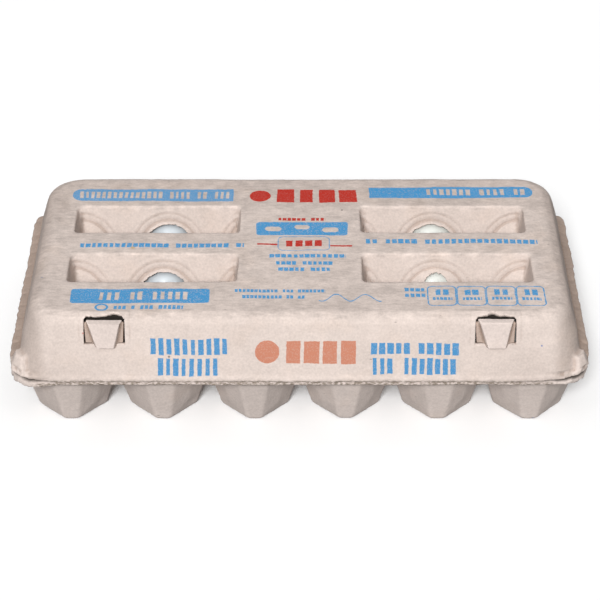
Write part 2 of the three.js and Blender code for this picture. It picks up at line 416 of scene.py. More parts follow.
def rim_distance(points):
    """How far each point lies inside the rim's outline, and the way out from there."""
    half_y = (RIM_BACK_Y - RIM_FRONT_Y) / 2
    x, y = points[:, 0], points[:, 1] - (RIM_BACK_Y + RIM_FRONT_Y) / 2
    corner = np.where(y < 0, RIM_FRONT_CORNER, RIM_BACK_CORNER)
    over_x = np.abs(x) - (RIM_HALF_X - corner)
    over_y = np.abs(y) - (half_y - corner)
    at_corner = (over_x > 0) & (over_y > 0)
    round_length = np.hypot(over_x, over_y)
    distance = np.where(at_corner, corner - round_length, corner - np.maximum(over_x, over_y))
    out_x = np.where(at_corner, over_x / round_length, over_x > over_y) * np.sign(x)
    out_y = np.where(at_corner, over_y / round_length, over_y >= over_x) * np.sign(y)
    return distance, np.stack([out_x, out_y], axis=1)


def near_rim(points):
    """1 on the edge of the rims, and 0 far enough inside, above or below it."""
    distance, _ = rim_distance(points)
    z = points[:, 2]
    level = np.clip((WEAR_TOP_Z - z) / 2.5, 0, 1) * np.clip((z - WEAR_FOOT_Z) / 2, 0, 1)
    return np.clip(1 - distance / WEAR_REACH, 0, 1) * level


def wear_rim(obj, seed):
    """Ragged edge and slow waves of a rim, with creases across the side rims."""
    points = points_of(obj)
    weight = near_rim(points)
    _, out = rim_distance(points)
    ragged = 0.34 * lattice_noise(points, 3.2, seed) + 0.22 * lattice_noise(points, 1.5, seed + 1)
    points[:, :2] += out * (weight ** 2 * ragged)[:, None]
    points[:, 2] += weight * (0.25 * lattice_noise(points, 30, 5) + 0.16 * lattice_noise(points, 5, seed + 2))
    at_side = np.clip((np.abs(points[:, 0]) - SIDE_RIM_X) / 1.5, 0, 1)
    along = points[:, 1] / CREASE_PITCH + 0.5 * lattice_noise(points, 20, 8)
    points[:, 2] -= CREASE_DEPTH * weight * at_side * bell(along, np.round(along), 0.09)
    set_points(obj, points)


def crumple_corners(obj, corners):
    """Lifts and bulges the rim at the two front corners, lets its underside droop and roughens it."""
    points = points_of(obj)
    weight = near_rim(points) ** 0.6
    _, out = rim_distance(points)
    for side, (lift, bulge, droop, rough) in corners.items():
        reach = np.hypot(points[:, 0] - side * CRUMPLE_X, points[:, 1] - CRUMPLE_Y) / CRUMPLE_REACH
        local = weight * np.clip(1 - reach ** 2, 0, 1)
        lumps = 0.9 * lattice_noise(points, 6, 60 + side) + 0.6 * lattice_noise(points, 2.4, 64 + side)
        under = points[:, 2] < (TRAY_RIM_Z + TRAY_TOP_Z) / 2
        points[:, 2] += local * (lift - droop * under + lumps * rough)
        points[:, :2] += out * (local * (bulge + lumps * rough * 0.8))[:, None]
    set_points(obj, points)


def store_values(obj, name, values):
    attribute = obj.data.attributes.new(name, "FLOAT", "POINT")
    attribute.data.foreach_set("value", values.astype(np.float32))


def store_shading_masks(obj, full=PULP_HOLLOW):
    """Keeps for the material where the surface is hollow or sharp, and the faces between the two rims, for
    painted shade in hollows and between the rims and painted highlights on sharp edges.
    """
    points = points_of(obj)
    normals = normals_of(obj)
    ends = np.zeros(len(obj.data.edges) * 2, np.int32)
    obj.data.edges.foreach_get("vertices", ends)
    first, second = ends.reshape(-1, 2).T
    count = len(points)
    step = points[second] - points[first]
    rise = np.bincount(first, (normals[first] * step).sum(1), count)
    rise -= np.bincount(second, (normals[second] * step).sum(1), count)
    number = np.bincount(ends, minlength=count)
    hollow = rise / np.maximum(number, 1)
    for _ in range(2):
        around = np.bincount(first, hollow[second], count) + np.bincount(second, hollow[first], count)
        hollow = (hollow + around / np.maximum(number, 1)) / 2
    store_values(obj, "hollow", np.clip(hollow / full, -1, 1))
    # The faces between the two rims, kept for a painted shadow in the gap
    distance, _ = rim_distance(points)
    level = smooth_step(points[:, 2], 29, 31.5) * smooth_step(-points[:, 2], -39, -36)
    facing = -normals[:, 2] if obj.name.startswith("lid") else normals[:, 2]
    seam_shadow = smooth_step(facing, 0.35, 0.75) * level * smooth_step(-distance, -9, -7)
    seam_shadow *= smooth_step(distance, 1.2, 3.6)
    store_values(obj, "seam_shadow", seam_shadow)


# Lid

def egg_rooms(radius, height, segments):
    """One ellipsoid for each egg, joined."""
    profile = [(radius * math.sin(a), -height * math.cos(a)) for a in half_turn(segments // 2)]
    return union([move(turned("room", profile, segments), x, y, DOME_Z) for _, _, x, y in cells()])


def arch_step(x, centre_y, side, inward):
    """The step that frames one egg in a recess wall: a shallow cone at right angles to the wall."""
    outer = 2 * ARCH_RADIUS - ARCH_INNER_RADIUS
    cone = turned("arch", [
        (0, -ARCH_DEPTH - inward),
        (ARCH_INNER_RADIUS + inward, -ARCH_DEPTH - inward),
        (outer + inward, ARCH_DEPTH - inward),
        (0, ARCH_DEPTH - inward),
    ], 96)
    # The cone's narrow end looks into the wall, along the wall's own normal
    px, py, pz = points_of(cone).T
    across = side * (py * SLOPE_COSINE - pz * SLOPE_SINE)
    set_points(cone, np.stack([side * px, across, pz * SLOPE_COSINE + py * SLOPE_SINE], axis=1))
    y = centre_y + side * (RECESS_HALF_Y - ARCH_DROP * SLOPE_COSINE)
    return move(cone, x, y, TOP_Z - ARCH_DROP * SLOPE_SINE)


def box(low, high):
    xs, ys, zs = zip(low, high)
    ring = [(xs[0], ys[0]), (xs[1], ys[0]), (xs[1], ys[1]), (xs[0], ys[1])]
    return loft("box", [[(x, y, z) for x, y in ring] for z in zs])


def recess(side_x, centre_y, grow):
    """The hollow of one recess; grow makes it larger all round."""
    floor_z = TOP_Z - RECESS_DEPTH - grow
    run = RECESS_DEPTH / math.tan(RECESS_SLOPE)
    above = 2.0
    rise = above / RECESS_DEPTH
    centre_x = side_x * RECESS_X

    def level(z, half_x, half_y):
        edges = (half_x + grow, centre_y - half_y - grow, centre_y + half_y + grow)
        return rounded_rectangle((z, *edges, RECESS_CORNER, RECESS_CORNER), centre_x)
    hollow = loft("recess", [
        level(floor_z, RECESS_HALF_X - RECESS_END_RUN, RECESS_HALF_Y - run),
        level(TOP_Z + above, RECESS_HALF_X + RECESS_END_RUN * rise, RECESS_HALF_Y + run * rise),
    ])
    reach = RECESS_HALF_X - RECESS_END_RUN / 2 + grow
    steps = union([
        arch_step(side_x * column * PITCH, centre_y, side, grow)
        for column in (0.5, 1.5, 2.5) for side in (-1, 1)])
    zone = box(
        (centre_x - reach, centre_y - PITCH, floor_z),
        (centre_x + reach, centre_y + PITCH, TOP_Z))
    combine(steps, zone, "INTERSECT")
    return combine(hollow, steps, "UNION")


def recesses(grow):
    return union([recess(side_x, y, grow) for y in (-RECESS_Y, RECESS_Y) for side_x in (-1, 1)])


def window_cut(x, centre_y, side, radius, seed):
    """A round arch over a straight sill, with a slightly torn outline."""
    steps = 64
    centre_z = WINDOW_TOP_Z - radius
    start = math.asin((WINDOW_SILL_Z - centre_z) / radius)
    angles = [start + (math.pi - 2 * start) * i / steps for i in range(steps + 1)]
    rim = np.array([(math.cos(a), 0.0, math.sin(a)) for a in angles])
    torn = 0.30 * lattice_noise(rim * 30, 2.6, seed) + 0.16 * lattice_noise(rim * 30, 0.8, seed + 1)
    outline = [(x + p[0] * (radius + t), centre_z + p[2] * (radius + t)) for p, t in zip(rim, torn)]
    near, far = sorted((centre_y, centre_y + side * WINDOW_REACH))
    rings = [[(px, y, pz) for px, pz in outline] for y in (far, near)]
    return loft("window", rings)


def slot_cut(side, seed):
    """The opening for one latch: straight sides and sill, and a torn edge at the back."""
    half = SLOT_WIDTH / 2
    steps = 48
    back = np.array([(half - SLOT_WIDTH * i / steps, 0.0, 0.0) for i in range(steps + 1)])
    share = back[:, 0] / half
    peak = 2.0 * bell(share, 0.5 if side < 0 else -0.15, 0.26)
    torn = peak - 2.4 * smooth_step(np.abs(share), 0.84, 1.0)
    torn += 0.35 * lattice_noise(back, 3.5, seed) + 0.35 * lattice_noise(back, 1.1, seed + 1)
    outline = [(-half, RIM_FRONT_Y - 5), (half, RIM_FRONT_Y - 5)]
    outline += [(p[0], SLOT_BACK_Y + t) for p, t in zip(back, torn)]
    x = side * LATCH_X
    return loft("slot", [[(x + px, py, z) for px, py in outline] for z in (SLOT_SILL_Z, TOP_Z + 5)])


def shoulder_pocket(side):
    """Thins the lid's shoulder from inside behind a slot, where the pulp is torn."""
    x = side * LATCH_X
    low = (x - TONGUE_HALF, POCKET_FRONT_Y, SLOT_SILL_Z + 1)
    return box(low, (x + TONGUE_HALF, POCKET_BACK_Y, SHOULDER_Z))


def front_y(z):
    """Where the lid's front wall stands at a height."""
    return LID_SECTIONS[2][2] + WALL_LEAN * (z - LID_SECTIONS[2][0])


def raise_frames(obj):
    """A raised border round each slot, from its sill up over the shoulder."""
    points = points_of(obj)
    half = SLOT_WIDTH / 2 + FRAME_MARGIN
    edge = 0.7
    x, y, z = points.T
    sill = SLOT_SILL_Z - FRAME_MARGIN
    weight = smooth_step(-np.abs(np.abs(x) - LATCH_X), -half - edge, -half)
    weight *= smooth_step(z, sill - edge, sill) * smooth_step(-y, -FRAME_BACK_Y - edge, -FRAME_BACK_Y)
    weight *= 0.35 + 0.65 * smooth_step(z, SLOT_SILL_Z - 1, SLOT_SILL_Z + 4)
    set_points(obj, points + normals_of(obj) * (FRAME_RAISE * weight)[:, None])


def line_arches(obj):
    """Sharpens the arched steps: a groove and a lip along each of their two edges."""
    points = points_of(obj)
    for centre_y, side in product((-RECESS_Y, RECESS_Y), (-1, 1)):
        y = points[:, 1] - centre_y - side * RECESS_HALF_Y
        z = points[:, 2] - TOP_Z
        down = -side * SLOPE_COSINE * y - SLOPE_SINE * z
        out = -side * SLOPE_SINE * y + SLOPE_COSINE * z
        on_wall = np.clip(1.6 - np.abs(out + 0.5) / 1.6, 0, 1) * smooth_step(down, 1.0, 2.5)
        for x in COLUMN_X:
            radius = np.hypot(points[:, 0] - x, down - ARCH_DROP)
            lines = ARCH_LINES + (HALF_OPEN_LINES if half_open(x, centre_y, side) else [])
            shift = on_wall * sum(height * bell(radius, middle, width) for height, middle, width in lines)
            points[:, 1] -= side * SLOPE_SINE * shift
            points[:, 2] += SLOPE_COSINE * shift
    set_points(obj, points)


def half_open(x, centre_y, side):
    """The window at the front right, on the wall that faces the front, is open only in its middle."""
    return abs(x - WINDOW_X) < 1 and centre_y < 0 and side > 0


def corner_ear(side):
    """The fold of pulp that stands against the lid's wall at one front corner."""
    low = [(150.5, -60), (150, -70), (143, -77.5), (136, -70), (140, -60)]
    high = [(146.2, -64), (145.8, -68.5), (142.5, -71.5), (138, -69), (140, -64)]
    rings = []
    for z, outline in ((34.2, low), (44.0, high)):
        ring = [(side * x, y, z) for x, y in outline]
        rings.append(ring if side < 0 else ring[::-1])
    return loft("ear", rings)


def make_lid():
    outside = loft("lid_pulp", [rounded_rectangle(s) for s in LID_SECTIONS])
    for side in (-1, 1):
        combine(outside, corner_ear(side), "UNION")
    hollows = cut(recesses(0.0), egg_rooms(DOME_RADIUS, DOME_HEIGHT, 48))
    cut(outside, hollows)
    remesh(outside, LID_VOXEL)
    soften(outside, 0.5, 2)
    line_arches(outside)
    raise_frames(outside)
    pulp_relief(outside, LID_SEED)
    wear_rim(outside, LID_RIM_SEED)
    crumple_corners(outside, LID_CRUMPLE)

    inside = loft("inside", [rounded_rectangle(s) for s in CAVITY_SECTIONS])
    cut(inside, recesses(WALL))
    rooms = egg_rooms(ROOM_RADIUS, ROOM_HEIGHT, 32)
    below = box((-200, -200, -20), (200, 200, LID_Z - 2))
    combine(inside, cut(rooms, below), "UNION")
    cut(outside, inside)

    windows = product((-RECESS_Y, RECESS_Y), (-WINDOW_X, WINDOW_X), (-1, 1))
    for number, (y, x, side) in enumerate(windows):
        radius = HALF_OPEN_RADIUS if half_open(x, y, side) else WINDOW_RADIUS
        cut(outside, window_cut(x, y, side, radius, WINDOW_SEED + 2 * number))
    for side in (-1, 1):
        cut(outside, slot_cut(side, SLOT_SEED + side))
        cut(outside, shoulder_pocket(side))
    shade_smooth(outside)
    store_shading_masks(outside)
    return outside


# Tray

def cup_ring(x, y, z, half, flat, bulge):
    corner = (half + flat) / math.sqrt(2) * bulge * math.sqrt(0.5)
    ring = []
    for quarter in range(4):
        for px, py in ((half, -flat), (half, flat), (corner, corner)):
            for _ in range(quarter):
                px, py = -py, px
            ring.append((x + px, y + py, z))
    return ring


def cup(x, y, inward, top_z):
    def ring(z, bulge):
        half = CUP_FOOT_HALF + CUP_DRAFT * z - inward
        return cup_ring(x, y, z, half, CUP_FOOT_FLAT + CUP_FLAT_DRAFT * z, bulge)
    foot = cup_ring(x, y, inward, CUP_FOOT_HALF - CUP_FOOT_EDGE - inward, CUP_FOOT_FLAT - 0.4, 1)
    return loft("cup", [
        foot,
        ring(inward + CUP_FOOT_EDGE, 1),
        ring(CUP_CREASE_Z, CUP_CREASE_BULGE),
        ring(top_z, CUP_CREASE_BULGE),
    ])


def flatten_soles(tray):
    """Keeps the uneven feet of the cups from reaching below the floor."""
    points = points_of(tray)
    points[:, 2] = np.maximum(points[:, 2], SOLE_Z)
    set_points(tray, points)


def make_tray():
    tray = loft("tray_pulp", [rounded_rectangle((z, *RIM_EDGE)) for z in (TRAY_RIM_Z, TRAY_TOP_Z)])
    for _, _, x, y in cells():
        combine(tray, cup(x, y, 0.0, TRAY_TOP_Z - 0.5), "UNION")
    remesh(tray, TRAY_VOXEL)
    soften(tray, 0.5, 3)
    pulp_relief(tray, TRAY_SEED)
    flatten_soles(tray)
    wear_rim(tray, TRAY_RIM_SEED)
    crumple_corners(tray, TRAY_CRUMPLE)
    for _, _, x, y in cells():
        cut(tray, cup(x, y, WALL, TRAY_TOP_Z + 2))
    shade_smooth(tray)
    store_shading_masks(tray)
    return tray


def level_ring(x, z, half, near_y, far_y):
    return [(x - half, near_y, z), (x + half, near_y, z), (x + half, far_y, z), (x - half, far_y, z)]


def button_ring(x, rise, z, half, front_z, front_half):
    """Upper or lower edge of the button, which is narrower at its front."""
    out_y = front_y(front_z + rise) - BUTTON_OUT
    back_y = front_y(z + rise) + 1
    return [(x - front_half, out_y, front_z + rise), (x + front_half, out_y, front_z + rise),
            (x + half, back_y, z + rise), (x - half, back_y, z + rise)]


def make_latch(name, side):
    """The end of one latch tab: a flat wing in the slot, a raised button before it and the tongue behind."""
    x = side * LATCH_X
    wing_x = x + WING_SHIFT
    tab = loft(name, [
        level_ring(wing_x, WING_FOOT_Z, WING_HALF - 0.6, front_y(WING_FOOT_Z) + 0.3, TONGUE_FRONT_Y + 1),
        level_ring(wing_x, WING_TOP_Z, WING_HALF, front_y(WING_TOP_Z) + 0.3, front_y(WING_TOP_Z) + 2.3),
    ])
    rise = RIGHT_BUTTON_RAISE if side > 0 else 0.0
    button = loft("button", [
        button_ring(x + BUTTON_SKEW, 0.0, *BUTTON_FOOT), button_ring(x, rise, *BUTTON_TOP)])
    tongue = loft("tongue", [
        level_ring(x, z, TONGUE_HALF, TONGUE_FRONT_Y, TONGUE_FRONT_Y + WALL)
        for z in (SLOT_SILL_Z, SHOULDER_Z - 0.4)])
    combine(tab, button, "UNION")
    combine(tab, tongue, "UNION")
    remesh(tab, LATCH_VOXEL)
    soften(tab, 0.5, 2)
    pulp_relief(tab, LATCH_SEED + side, 0.8)
    shade_smooth(tab)
    store_shading_masks(tab, LATCH_HOLLOW)
    return tab


# Eggs

def make_egg(name, x, y):
    profile = []
    for angle in half_turn(40):
        along = -math.cos(angle)
        radius = EGG_RADIUS * math.sin(angle) * (1 + EGG_BLUNTNESS * along)
        profile.append((radius, EGG_LENGTH / 2 * (1 + along)))
    egg = move(turned(name, profile, 56), x, y, EGG_BASE_Z)
    shade_smooth(egg)
    return egg


# Materials

# Colours as the share of light that comes back
PULP_LID = (0.575, 0.491, 0.446)
PULP_TRAY = (0.54, 0.466, 0.428)
PULP_RIM_SHADE = (0.84, 0.78, 0.73)
# Painted shade on the lid's sides, back and the ends of its front wall
PULP_SIDE_SHADE = (0.77, 0.755, 0.745)
INK_TOP_BLUE = (0.04, 0.275, 0.56)
INK_FRONT_BLUE = (0.04, 0.22, 0.45)
INK_RED = (0.461, 0.012, 0.002)
INK_CORAL = (0.475, 0.181, 0.11)
SHELL_COOL = (0.57, 0.62, 0.655)
SHELL_WARM = (0.68, 0.70, 0.66)

WARM_TINT = (1.0, 0.93, 0.86)
# Painted shade in hollows, and painted highlight on sharp edges
HOLLOW_SHADE_TINT = (0.52, 0.43, 0.37)
EDGE_HIGHLIGHT_TINT = (1.12, 1.12, 1.12)
# Painted shadow in the gap between the two rims
SEAM_SHADOW_DARK = (0.07, 0.055, 0.045)
# Dark grit on the front rims, partly painted shade under the lid's rim
GRIT_AND_SHADE_DARK = (0.17, 0.135, 0.105)
FIBRE_DARK = (0.09, 0.07, 0.06)
FIBRE_BLUE = (0.05, 0.12, 0.3)
TAB_TINT = (1.07, 1.06, 1.06)
# Painted shade on the tabs' sides and wings, and painted shadow behind the slots
TAB_SIDE_SHADE = (0.68, 0.62, 0.57)
SLOT_SHADOW_BLACK = (0.022, 0.018, 0.015)
SHELL_SPOT_TINT = (0.93, 0.93, 0.93)
# Painted shadow on the shell under a window's edge
SHELL_SHADOW_TINT = (0.30, 0.29, 0.29)

# Specks and stains on the lid: x, y, z, radius and colour
SPECKS = [
    (-88.8, -5.0, 68.0, 1.6, (0.50, 0.34, 0.16)),
    (22.9, 33.6, 68.0, 0.8, (0.06, 0.05, 0.04)),
    (-110.2, -71.8, 59.3, 0.7, (0.45, 0.10, 0.08)),
    (123.1, -73.4, 52.5, 0.7, (0.06, 0.14, 0.36)),
    (-66.8, -74.8, 46.7, 0.8, (0.05, 0.04, 0.04)),
]

# Inputs that every shape of print has, and its half size along z, where it has no end
PRINT_PLACE = ["Point", "Centre", "Half size"]
FLAT = 1000.0

# Where the print lies
PRINT_TOP_Z = 66.0
PRINT_FRONT_Y = -66.0
PRINT_FRONT_TOP_Z = 62.0

# Rows of blocks in the place of words: left, right, low and high edge, pitch and seed, then the share that is
# left out and half of a block's width over the pitch, where these aren't the usual ones
TOP_BLUE_ROWS = [
    (-95.5, -59.7, -62.8, -59.4, 2.3, 40),
    (-120.9, -29.9, -4.5, -0.3, 3.2, 63),
    (31.4, 126.9, -0.8, 3.7, 3.5, 110),
    (-19.6, 24.2, -14.8, -11.2, 3.1, 150),
    (-13.2, 17.3, -21.6, -18.2, 2.8, 170),
    (-11.6, 15.6, -27.4, -24.0, 2.8, 190),
    (-33.5, 12.8, -47.8, -44.8, 2.0, 210),
    (-33.5, 3.5, -53.4, -50.4, 2.0, 240),
    (53.5, 64.2, -46.6, -43.2, 2.9, 270, 0.0),
    (53.5, 64.6, -51.8, -48.4, 2.9, 280, 0.0),
]
TOP_RED_ROWS = [
    (-13.5, 32, 41.4, 55.6, 11.4, 3, 0.0),
    (-12, 13.5, 22.4, 25.4, 2.5, 12, 0.1),
    (-8.4, 12.6, -3.8, 2.6, 5.2, 33, 0.0),
]
FRONT_BLUE_ROWS = [
    (-76.9, -36.5, 47.6, 56.7, 4.05, 7, 0.0, 0.24),
    (-73.1, -41.5, 36.6, 46.2, 3.95, 17, 0.0, 0.24),
    (35.4, 56.5, 47.9, 54.4, 4.2, 30, 0.0),
    (59.6, 81.4, 47.9, 54.4, 4.4, 44, 0.0),
    (35.9, 47.5, 37.1, 46.2, 3.9, 60, 0.0, 0.24),
    (52.3, 80.1, 37.1, 46.2, 3.97, 71, 0.0, 0.24),
]


def new_material(name):
    material = bpy.data.materials.new(name)
    material.use_nodes = True
    tree = material.node_tree
    return material, tree, tree.nodes["Principled BSDF"]


def feed(tree, socket, value):
    """Links a socket to another one, or sets its value."""
    if isinstance(value, bpy.types.NodeSocket):
        tree.links.new(value, socket)
    else:
        socket.default_value = value


def add_node(tree, kind, values):
    """A new node with its inputs by name."""
    node = tree.nodes.new("ShaderNode" + kind)
    for label, value in values.items():
        feed(tree, node.inputs[label], value)
    return node


def calc(tree, operation, *values):
    node = tree.nodes.new("ShaderNodeMath")
    node.operation = operation
    for socket, value in zip(node.inputs, values):
        feed(tree, socket, value)
    return node.outputs[0]


def times(tree, first, *others):
    for other in others:
        first = calc(tree, "MULTIPLY", first, other)
    return first


def minus(tree, first, second):
    return calc(tree, "SUBTRACT", first, second)


def size_of(tree, value):
    return calc(tree, "ABSOLUTE", value)


def scaled(tree, value, factor, start):
    """The value times a factor, and start on top."""
    return calc(tree, "MULTIPLY_ADD", value, factor, start)


def calc_vector(tree, operation, *values):
    node = tree.nodes.new("ShaderNodeVectorMath")
    node.operation = operation
    for socket, value in zip(node.inputs, values):
        feed(tree, socket, value)
    return node.outputs["Value"] if operation == "LENGTH" else node.outputs["Vector"]


def split(tree, vector):
    return add_node(tree, "SeparateXYZ", {"Vector": vector}).outputs


def split_colour(tree, colour):
    return add_node(tree, "SeparateColor", {"Color": colour}).outputs


def join(tree, x, y, z):
    return add_node(tree, "CombineXYZ", {"X": x, "Y": y, "Z": z}).outputs[0]


def ramp(tree, value, low, high):
    """0 below low and 1 above high, with a smooth rise between."""
    node = add_node(tree, "MapRange", {"Value": value, "From Min": low, "From Max": high})
    node.interpolation_type = "SMOOTHSTEP"
    return node.outputs["Result"]


def mix(tree, share, first, second, blend="MIX"):
    node = tree.nodes.new("ShaderNodeMix")
    node.data_type = "RGBA"
    node.blend_type = blend
    feed(tree, node.inputs["Factor"], share)
    for socket, value in ((node.inputs["A"], first), (node.inputs["B"], second)):
        if isinstance(value, tuple):
            value = (*value, 1)
        feed(tree, socket, value)
    return node.outputs["Result"]


def tint(tree, share, colour, shade):
    """The colour times the shade, as far as share goes."""
    return mix(tree, share, colour, shade, "MULTIPLY")


def stretched(tree, point, factor):
    """Draws a pattern out along X."""
    return calc_vector(tree, "MULTIPLY", point, (factor, 1.0, 1.0))


def noise(tree, point, size, detail=2.0, output="Fac"):
    """Noise from 0 to 1 with features of about size millimetres."""
    node = add_node(tree, "TexNoise", {"Vector": point, "Scale": 1 / size, "Detail": detail})
    return node.outputs[output]


def place_in_mm(tree):
    coordinates = tree.nodes.new("ShaderNodeTexCoord")
    return calc_vector(tree, "MULTIPLY", coordinates.outputs["Object"], (1 / MM, 1 / MM, 1 / MM))


# Print, as distances in millimetres from flat shapes; inside a shape the distance is below zero

def new_group(name, vectors, numbers):
    """A node group that takes vectors and numbers and gives a distance."""
    group = bpy.data.node_groups.new(name, "ShaderNodeTree")
    for labels, kind in ((vectors, "NodeSocketVector"), (numbers, "NodeSocketFloat")):
        for label in labels:
            group.interface.new_socket(label, in_out="INPUT", socket_type=kind)
    group.interface.new_socket("Distance", in_out="OUTPUT", socket_type="NodeSocketFloat")
    given = group.nodes.new("NodeGroupInput").outputs
    result = group.nodes.new("NodeGroupOutput").inputs["Distance"]
    return group, given, result


def make_block_group():
    """Distance from a rectangle with round corners."""
    group, given, result = new_group("print_block", PRINT_PLACE, ["Corner"])
    offset = calc_vector(group, "ABSOLUTE", calc_vector(group, "SUBTRACT", given["Point"], given["Centre"]))
    corner = join(group, given["Corner"], given["Corner"], given["Corner"])
    reach = calc_vector(group, "ADD", calc_vector(group, "SUBTRACT", offset, given["Half size"]), corner)
    outside = calc_vector(group, "LENGTH", calc_vector(group, "MAXIMUM", reach, (0, 0, 0)))
    parts = split(group, reach)
    inside = calc(group, "MINIMUM", calc(group, "MAXIMUM", parts[0], parts[1]), 0.0)
    feed(group, result, minus(group, calc(group, "ADD", outside, inside), given["Corner"]))
    return group


def make_row_group():
    """Distance from a row of plain blocks of uneven width, with some left out."""
    group, given, result = new_group("print_row", PRINT_PLACE, ["Pitch", "Seed", "Left out", "Share"])
    local = split(group, calc_vector(group, "SUBTRACT", given["Point"], given["Centre"]))
    half = split(group, given["Half size"])
    steps = calc(group, "DIVIDE", calc(group, "ADD", local[0], half[0]), given["Pitch"])
    index = calc(group, "FLOOR", steps)
    random = group.nodes.new("ShaderNodeTexWhiteNoise")
    random.noise_dimensions = "1D"
    feed(group, random.inputs["W"], calc(group, "ADD", index, given["Seed"]))
    width, gap, height = split_colour(group, random.outputs["Color"])
    from_middle = size_of(group, minus(group, minus(group, steps, index), 0.5))
    half_block = calc(group, "ADD", times(group, width, 0.13), given["Share"])
    across = times(group, minus(group, from_middle, half_block), given["Pitch"])
    missing = calc(group, "LESS_THAN", gap, given["Left out"])
    across = calc(group, "ADD", across, times(group, missing, 10.0))
    half_height = times(group, half[1], scaled(group, height, 0.12, 0.88))
    upright = minus(group, size_of(group, local[1]), half_height)
    ends = minus(group, size_of(group, local[0]), half[0])
    feed(group, result, calc(group, "MAXIMUM", calc(group, "MAXIMUM", across, upright), ends))
    return group


class Print:
    """One colour of print on one face: a distance that each added shape may shorten."""

    def __init__(self, tree, point, groups):
        self.tree = tree
        self.point = point
        self.groups = groups
        self.distance = None

    def group(self, kind, x0, x1, y0, y1, **values):
        node = self.tree.nodes.new("ShaderNodeGroup")
        node.node_tree = self.groups[kind]
        feed(self.tree, node.inputs["Point"], self.point)
        node.inputs["Centre"].default_value = ((x0 + x1) / 2, (y0 + y1) / 2, 0)
        node.inputs["Half size"].default_value = ((x1 - x0) / 2, (y1 - y0) / 2, FLAT)
        for label, value in values.items():
            node.inputs[label.replace("_", " ").capitalize()].default_value = value
        return node.outputs[0]

    def block(self, x0, x1, y0, y1, corner=0.3):
        return self.group("block", x0, x1, y0, y1, corner=corner)

    def row(self, x0, x1, y0, y1, pitch, seed, left_out=0.14, share=0.31):
        """A broken bar in the place of a line of words."""
        return self.group("row", x0, x1, y0, y1, pitch=pitch, seed=seed, left_out=left_out, share=share)

    def outline(self, distance, width):
        return minus(self.tree, size_of(self.tree, distance), width / 2)

    def without(self, distance, hole):
        return calc(self.tree, "MAXIMUM", distance, times(self.tree, hole, -1.0))

    def either(self, first, second):
        return calc(self.tree, "MINIMUM", first, second)

    def add(self, *distances):
        for distance in distances:
            self.distance = distance if self.distance is None else self.either(self.distance, distance)

    def add_rows(self, rows):
        self.add(*(self.row(*values) for values in rows))


def top_blue(ink):
    bar = ink.either(ink.block(-125.5, -62, 43.1, 55.6, 5.5), ink.block(-80, -36.5, 43.1, 55.6))
    ink.add(ink.without(bar, ink.row(-122, -39, 45.9, 53.1, 3.1, 3, 0.16, 0.22)))
    bar = ink.either(ink.block(38.3, 90, 46.3, 57.4), ink.block(70, 128.3, 46.7, 58.1, 5.0))
    ink.add(ink.without(bar, ink.row(69, 124, 49.4, 55.8, 3.7, 11, 0.12, 0.22)))
    bar = ink.block(-117.5, -46.7, -57.4, -44.4, 1.6)
    ink.add(ink.without(bar, ink.row(-104, -58, -54.5, -47.2, 3.9, 20, 0.14, 0.22)))
    ink.add(ink.outline(ink.block(-104, -98.4, -63.6, -58.4, 2.6), 1.2))
    panel = ink.block(-23.8, 25.8, 7.6, 20.8, 2.0)
    for x0, y0, width in ((-19, 11.5, 9), (-3, 13.2, 8), (12, 10.8, 9)):
        panel = ink.without(panel, ink.block(x0, x0 + width, y0, y0 + 4.6, 2.3))
    ink.add(panel, ink.outline(ink.block(-11.8, 15.9, -7.4, 6.0, 3.0), 0.5))
    ink.add_rows(TOP_BLUE_ROWS)
    for number, x0 in enumerate((65.8, 81.0, 96.1, 111.2)):
        ink.add(
            ink.outline(ink.block(x0, x0 + 14.5, -59.5, -42.0, 2.4), 0.65),
            ink.row(x0 + 3.4, x0 + 11.4, -50.2, -44.8, 4.0, 300 + 9 * number, 0.0),
            ink.row(x0 + 2.2, x0 + 12.4, -54.6, -51.9, 1.9, 350 + 9 * number, 0.0))
    tree = ink.tree
    x, y, _ = split(tree, ink.point)
    wave = times(tree, calc(tree, "SINE", times(tree, x, 0.42)), 3.2)
    line = size_of(tree, minus(tree, calc(tree, "ADD", y, 52.5), wave))
    ink.add(calc(tree, "MAXIMUM", minus(tree, line, 0.45), ink.block(9.5, 41.5, -60, -45)))


def top_red(ink):
    ink.add(ink.block(-27.5, -16, 42.6, 54.1, 5.7))
    ink.add_rows(TOP_RED_ROWS)
    ink.add(ink.block(-23, -12.2, -2.1, -0.7), ink.block(16.4, 28.1, -3.6, -2.2))


def front_blue(ink):
    ink.add_rows(FRONT_BLUE_ROWS)


def front_coral(ink):
    ink.add(ink.block(-23, -10.6, 43.1, 55.5, 6.2), ink.row(-8.2, 29.5, 43.0, 55.6, 9.4, 5, 0.0))


